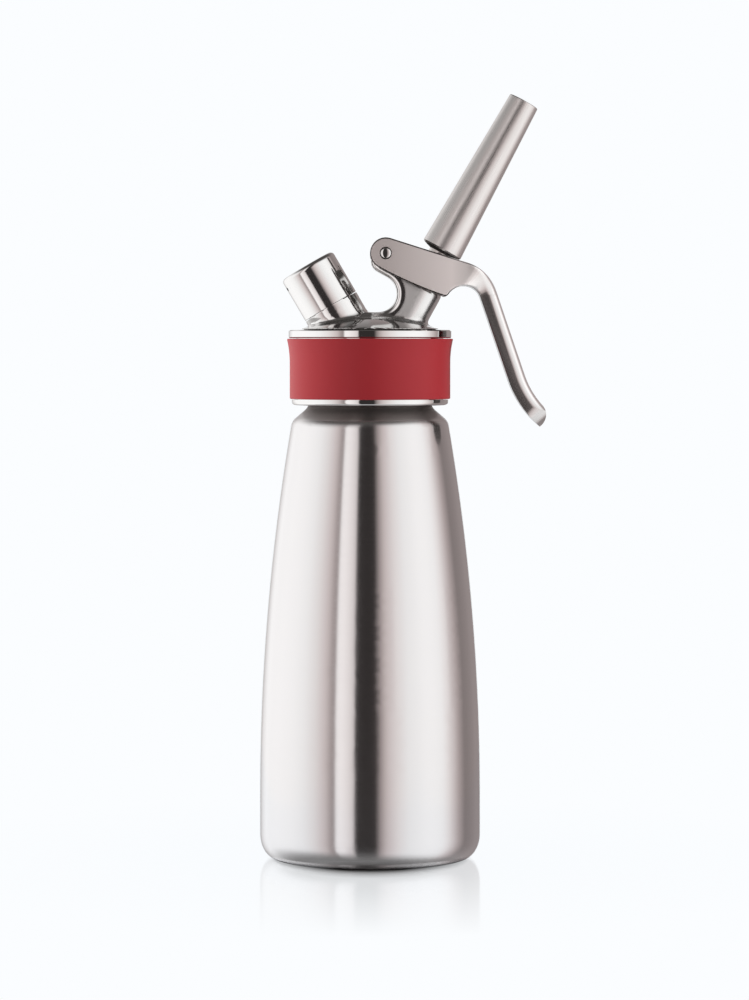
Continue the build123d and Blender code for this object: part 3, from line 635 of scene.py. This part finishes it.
lever = merged_copy("lever", "lever_forging")
bpy.ops.mesh.bisect(
    plane_co=(0, 0, handle_seam - seam_overlap), plane_no=(0, 0, 1), use_fill=True, clear_inner=True
)
bpy.ops.object.mode_set(mode="OBJECT")
apply_modifier(lever, "REMESH", mode="VOXEL", voxel_size=lever_voxel)
soft = lever.vertex_groups.new(name="soft")
for vertex in lever.data.vertices:
    soft.add([vertex.index], clamped((vertex.co.z - handle_seam) / seam_fade), "REPLACE")
apply_modifier(lever, "SMOOTH", factor=0.5, iterations=lever_passes, vertex_group="soft")
bpy.ops.object.mode_set(mode="EDIT")
bpy.ops.mesh.select_all(action="SELECT")
bpy.ops.mesh.bisect(plane_co=(0, 0, handle_seam), plane_no=(0, 0, 1), clear_inner=True)
bpy.ops.object.mode_set(mode="OBJECT")
bpy.ops.object.shade_smooth()
stand_for(lever, "lever", "lever", lever_steel)

handle = merged_copy("lever", "lever_handle")
bpy.ops.mesh.bisect(plane_co=(0, 0, handle_seam), plane_no=(0, 0, 1), clear_outer=True)
bpy.ops.object.mode_set(mode="OBJECT")
bpy.ops.object.shade_smooth_by_angle(angle=handle_angle)
stand_for(handle, "lever", "lever", lever_steel)

# Lever pin: a turned stainless pin, pressed through the head's bracket, on which the lever swings.
# Its two ends are crowned and polished bright.
pin_place = Vector(joints["lever_pivot"]["pos_m"])
pin_radius = 0.00195
pin_half = 0.0119
pin_crown = 0.0004
dress("lever_pin", lever_steel)
bpy.ops.object.select_all(action="DESELECT")
bpy.ops.mesh.primitive_uv_sphere_add(segments=48, ring_count=24, radius=1.0)
pin_ends = bpy.context.object
pin_ends.name = "lever_pin_crowns"
bpy.ops.transform.resize(value=(pin_radius, pin_crown, pin_radius))
bpy.ops.transform.translate(value=pin_place + Vector((0, -pin_half, 0)))
bpy.ops.object.duplicate_move(TRANSFORM_OT_translate={"value": (0, 2 * pin_half, 0)})
pin_ends.select_set(True)
bpy.context.view_layer.objects.active = pin_ends
bpy.ops.object.join()
bpy.ops.object.transform_apply(location=True, rotation=True, scale=True)
bpy.ops.object.shade_smooth()
pin_ends.data.materials.append(mirror_steel)
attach(pin_ends, "head")

# Dosing valve: a hollow turned stem that slides in the pillar, with a pressed collar, a snap ring
# and a return spring of hard-drawn wire. Its seals are moulded nitrile rubber, an even matt black,
# whose grain is drawn coarser than it is.
rubber_grain = 0.0006
satin_steel = blasted_stainless("bead_blasted_stainless", "#CBC5C2", 0.24, 0.34)
black_rubber, tree, shader = new_material("moulded_nitrile_rubber", Base_Color=linear("#2C2726"))
place = add_node(tree, "ShaderNodeTexCoord").outputs["Object"]
grain = add_node(
    tree, "ShaderNodeTexNoise", {"Vector": place, "Scale": 1 / rubber_grain, "Detail": 2.0}
)
matt = add_node(
    tree, "ShaderNodeMapRange", {"Value": grain.outputs[0], "To Min": 0.45, "To Max": 0.65}
)
tree.links.new(matt.outputs[0], shader.inputs["Roughness"])
for node in ("valve_stem", "stem_collar", "collar_clip"):
    dress(node, satin_steel)
for node in ("head_gasket", "valve_seal", "stem_o_rings"):
    dress(node, black_rubber)
spring = merged_copy("valve_spring", "valve_spring_coil")
bpy.ops.object.mode_set(mode="OBJECT")
bpy.ops.object.shade_smooth()
stand_for(spring, "valve_spring", "head", mirror_steel)
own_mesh(spring)

# Decorating tip: a straight stainless cone that screws on the stem and pinches a thin rubber ring.
# It is brushed lengthwise, which spreads its highlights round it.
tip_ring_rim = 0.0002
tip_steel = brushed_stainless("brushed_stainless_tip", "#CECAC8", valve_axis, False, 0.2, 0.4)
dress("decorating_tip", tip_steel)
tip_ring = merged_copy("tip_seal", "tip_seal_moulded")
bpy.ops.object.mode_set(mode="OBJECT")
apply_modifier(tip_ring, "BEVEL", width=tip_ring_rim, segments=3, limit_method="ANGLE")
bpy.ops.object.shade_smooth_by_angle(angle=rounded_angle)
stand_for(tip_ring, "tip_seal", "tip_ring", black_rubber)

# Charging port: a turned piercing pin and a non-return valve of poppet, retainer and fine spring,
# dropped into the port from below, with a rubber ring that the gas charger seats on.
for node in ("piercing_pin", "check_poppet", "check_retainer"):
    dress(node, satin_steel)
dress("charger_seal", black_rubber)
check_coil = merged_copy("check_spring", "check_spring_coil")
bpy.ops.object.mode_set(mode="OBJECT")
bpy.ops.object.shade_smooth()
stand_for(check_coil, "check_spring", "head", mirror_steel)
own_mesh(check_coil)

# Charging cap: turned from stainless bar and buffed to a mirror, with a vent hole in its side.
# It screws over the port, and holds a flat rubber ring against the port's end.
dress("charging_cap", cap_steel)
dress("cap_seal", black_rubber)

# Camera: level with the grip band and looking slightly down, with a long lens, from 1.4 metres away.
# The picture is 749 pixels wide and 1000 high.
frame_height = 1000
focal_pixels = 3600
sensor = 36.0
camera_place = Vector((0.0, -1.3777, 0.1946))
camera_target = Vector((0.00172, 0.0, 0.1372))
aim = (camera_target - camera_place).to_track_quat("-Z", "Y").to_euler()
bpy.ops.object.camera_add(location=camera_place, rotation=aim)
camera = bpy.context.object
camera.data.sensor_width = sensor
camera.data.lens = sensor * focal_pixels / frame_height
bpy.context.scene.camera = camera
bpy.context.scene.view_settings.view_transform = "Standard"

# Studio: white panels at both sides, a narrow one at the left front, and a dark gap between them
# where the camera stands, under a dark ceiling. The greys between the panels are a little warm.
# The background is white paper; two softboxes, which metal doesn't mirror, light the band.
paper_white = linear("#FBFDFF")
warm_grey = linear("#FFEFED")
ceiling_colour = (0.1, 0.094, 0.09, 1.0)
ceiling_lean = (-0.13, 0.0, 1.0)
ceiling_begin, ceiling_full = 0.38, 0.85
diffuse_fill = 0.72
paper_edge = 0.97
# degrees round from the camera, towards the lever; brightness there; how warm it is
studio_round = (
    (-180, 0.4, 0.5),
    (-165, 0.6, 0.3),
    (-152, 1.1, 0.1),
    (-140, 1.42, 0.0),
    (-110, 1.5, 0.0),
    (-89, 1.46, 0.0),
    (-74, 1.36, 0.0),
    (-60, 1.18, 0.3),
    (-53, 1.04, 0.6),
    (-47, 0.88, 0.8),
    (-41, 0.54, 1.0),
    (-37.5, 0.43, 1.0),
    (-35.5, 1.42, 0.2),
    (-29, 1.38, 0.3),
    (-22, 1.2, 0.4),
    (-17, 1.0, 0.5),
    (-15.5, 0.045, 0.9),
    (6, 0.045, 0.9),
    (9.5, 0.38, 1.0),
    (13, 0.63, 1.0),
    (18, 0.9, 0.8),
    (29, 1.17, 0.4),
    (41, 1.32, 0.0),
    (60, 1.45, 0.0),
    (70, 1.46, 0.0),
    (81, 1.4, 0.0),
    (89, 1.26, 0.3),
    (97, 0.97, 0.6),
    (106, 0.64, 1.0),
    (117, 0.34, 1.0),
    (146, 0.42, 1.0),
    (165, 0.36, 1.0),
)
world = bpy.data.worlds.new("studio")
bpy.context.scene.world = world
world.use_nodes = True
tree = world.node_tree
tree.nodes.clear()
way = add_node(tree, "ShaderNodeTexCoord").outputs["Generated"]
parts = add_node(tree, "ShaderNodeSeparateXYZ", {0: way})
towards = add_node(tree, "ShaderNodeMath", {0: parts.outputs["Y"], 1: -1.0}, operation="MULTIPLY")
turn = add_node(
    tree, "ShaderNodeMath", {0: parts.outputs["X"], 1: towards.outputs[0]}, operation="ARCTAN2"
)
share = add_node(
    tree, "ShaderNodeMapRange", {"Value": turn.outputs[0], "From Min": -math.pi, "From Max": math.pi}
)
ramp = add_node(tree, "ShaderNodeValToRGB", {0: share.outputs[0]})
panels = []
for degrees, level, warm in studio_round:
    panel_colour = [level * (1 - warm * (1 - c)) for c in warm_grey[:3]] + [1.0]
    panels.append((degrees / 360 + 0.5, panel_colour))
set_stops(ramp.color_ramp, panels)
lean = add_node(tree, "ShaderNodeVectorMath", {0: way, 1: ceiling_lean}, operation="DOT_PRODUCT")
high = add_node(
    tree,
    "ShaderNodeMapRange",
    {"Value": lean.outputs["Value"], "From Min": ceiling_begin, "From Max": ceiling_full},
    interpolation_type="SMOOTHSTEP",
)
overhead = add_node(
    tree,
    "ShaderNodeMix",
    {0: high.outputs[0], 6: ramp.outputs[0], 7: ceiling_colour},
    data_type="RGBA",
)
rays = add_node(tree, "ShaderNodeLightPath")
fill = add_node(
    tree,
    "ShaderNodeMapRange",
    {"Value": rays.outputs["Is Diffuse Ray"], "To Min": 1.0, "To Max": diffuse_fill},
)
studio = add_node(
    tree, "ShaderNodeBackground", {"Color": overhead.outputs[2], "Strength": fill.outputs[0]}
)
paper = add_node(tree, "ShaderNodeBackground", {"Color": paper_white, "Strength": 1.0})
behind = add_node(
    tree, "ShaderNodeMath", {0: parts.outputs["Y"], 1: paper_edge}, operation="GREATER_THAN"
)
shown = add_node(
    tree,
    "ShaderNodeMath",
    {0: rays.outputs["Is Glossy Ray"], 1: behind.outputs[0]},
    operation="MULTIPLY",
)
seen = add_node(
    tree,
    "ShaderNodeMath",
    {0: rays.outputs["Is Camera Ray"], 1: rays.outputs["Is Transmission Ray"]},
    operation="MAXIMUM",
)
white = add_node(
    tree, "ShaderNodeMath", {0: seen.outputs[0], 1: shown.outputs[0]}, operation="MAXIMUM"
)
mixed = add_node(
    tree, "ShaderNodeMixShader", {0: white.outputs[0], 1: studio.outputs[0], 2: paper.outputs[0]}
)
add_node(tree, "ShaderNodeOutputWorld", {"Surface": mixed.outputs[0]})

# name, metres right of the bottle, metres behind it, watts
softboxes = (("left_softbox", -0.6, 0.06, 1.9), ("right_softbox", 0.6, -0.12, 1.3))
softbox_height = 0.3
softbox_width, softbox_tall = 0.3, 0.6
band_middle = Vector((0, 0, (band_low + band_high) / 2))
for name, right, back, watts in softboxes:
    softbox_place = Vector((right, back, softbox_height))
    aim = (band_middle - softbox_place).to_track_quat("-Z", "Y").to_euler()
    bpy.ops.object.light_add(type="AREA", location=softbox_place, rotation=aim)
    softbox = bpy.context.object
    softbox.name = name
    softbox.data.shape = "RECTANGLE"
    softbox.data.size = softbox_width
    softbox.data.size_y = softbox_tall
    softbox.data.energy = watts
    softbox.visible_glossy = False
    softbox.visible_camera = False

# Floor: a glossy white sheet on a table that ends just in front of the view.
# It mirrors the bottle's foot softly, fading away from it, and darkens where the foot meets it.
table_front = -0.2
table_back = 0.4
table_width = 0.44
mirror_near, mirror_far = 0.04, 0.19
mirror_share = 0.36
mirror_roughness = 0.1
grazing_blend = 0.85
# the sheet shows shade only close round the foot, over an oval longer to the front and back
shade_oval = (1.5, 1.0, 0.0)
shade_near, shade_far = 0.04, 0.058
contact_reach = 0.03
contact_power = 4.0
sheet_glow = 0.7
sheet_grey = (0.3, 0.3, 0.3, 1.0)
bpy.ops.object.select_all(action="DESELECT")
bpy.ops.mesh.primitive_plane_add(size=1.0, location=(0, (table_front + table_back) / 2, 0))
bpy.ops.transform.resize(value=(table_width, table_back - table_front, 1))
bpy.ops.object.transform_apply(location=True, rotation=True, scale=True)
floor = bpy.context.object
floor.name = "floor"
sheet_material = bpy.data.materials.new("glossy_white_sheet")
sheet_material.use_nodes = True
tree = sheet_material.node_tree
tree.nodes.clear()
place = add_node(tree, "ShaderNodeTexCoord").outputs["Object"]
reach = add_node(tree, "ShaderNodeVectorMath", {0: place}, operation="LENGTH")
near = add_node(
    tree,
    "ShaderNodeMapRange",
    {
        "Value": reach.outputs["Value"],
        "From Min": mirror_near,
        "From Max": mirror_far,
        "To Min": mirror_share,
        "To Max": 0.0,
    },
)
oval = add_node(tree, "ShaderNodeVectorMath", {0: place, 1: shade_oval}, operation="MULTIPLY")
round_foot = add_node(tree, "ShaderNodeVectorMath", {0: oval.outputs[0]}, operation="LENGTH")
far = add_node(
    tree,
    "ShaderNodeMapRange",
    {"Value": round_foot.outputs["Value"], "From Min": shade_near, "From Max": shade_far},
)
rays = add_node(tree, "ShaderNodeLightPath")
grazing = add_node(tree, "ShaderNodeLayerWeight", {"Blend": grazing_blend})
gloss = add_node(
    tree,
    "ShaderNodeMath",
    {0: rays.outputs["Is Glossy Ray"], 1: grazing.outputs["Facing"]},
    operation="MULTIPLY",
)
mirrored = add_node(
    tree, "ShaderNodeMath", {0: near.outputs[0], 1: gloss.outputs[0]}, operation="MAXIMUM"
)
seen = add_node(
    tree,
    "ShaderNodeMath",
    {0: rays.outputs["Is Camera Ray"], 1: rays.outputs["Is Glossy Ray"]},
    operation="MAXIMUM",
)
seen = add_node(
    tree,
    "ShaderNodeMath",
    {0: seen.outputs[0], 1: rays.outputs["Is Transmission Ray"]},
    operation="MAXIMUM",
)
contact = add_node(tree, "ShaderNodeAmbientOcclusion", {"Distance": contact_reach}, samples=16)
open_air = add_node(
    tree, "ShaderNodeMath", {0: contact.outputs["AO"], 1: contact_power}, operation="POWER"
)
glow = add_node(tree, "ShaderNodeMath", {0: seen.outputs[0], 1: sheet_glow}, operation="MULTIPLY")
glow = add_node(
    tree, "ShaderNodeMath", {0: glow.outputs[0], 1: open_air.outputs[0]}, operation="MULTIPLY"
)
lit = add_node(tree, "ShaderNodeBsdfDiffuse", {"Color": sheet_grey})
lift = add_node(tree, "ShaderNodeEmission", {"Color": paper_white, "Strength": glow.outputs[0]})
body = add_node(tree, "ShaderNodeAddShader", {0: lit.outputs[0], 1: lift.outputs[0]})
plain = add_node(tree, "ShaderNodeEmission", {"Color": paper_white, "Strength": seen.outputs[0]})
sheet = add_node(
    tree, "ShaderNodeMixShader", {0: far.outputs[0], 1: body.outputs[0], 2: plain.outputs[0]}
)
mirror = add_node(
    tree, "ShaderNodeBsdfGlossy", {"Color": paper_white, "Roughness": mirror_roughness}
)
surface = add_node(
    tree, "ShaderNodeMixShader", {0: mirrored.outputs[0], 1: sheet.outputs[0], 2: mirror.outputs[0]}
)
add_node(tree, "ShaderNodeOutputMaterial", {"Surface": surface.outputs[0]})
floor.data.materials.append(sheet_material)
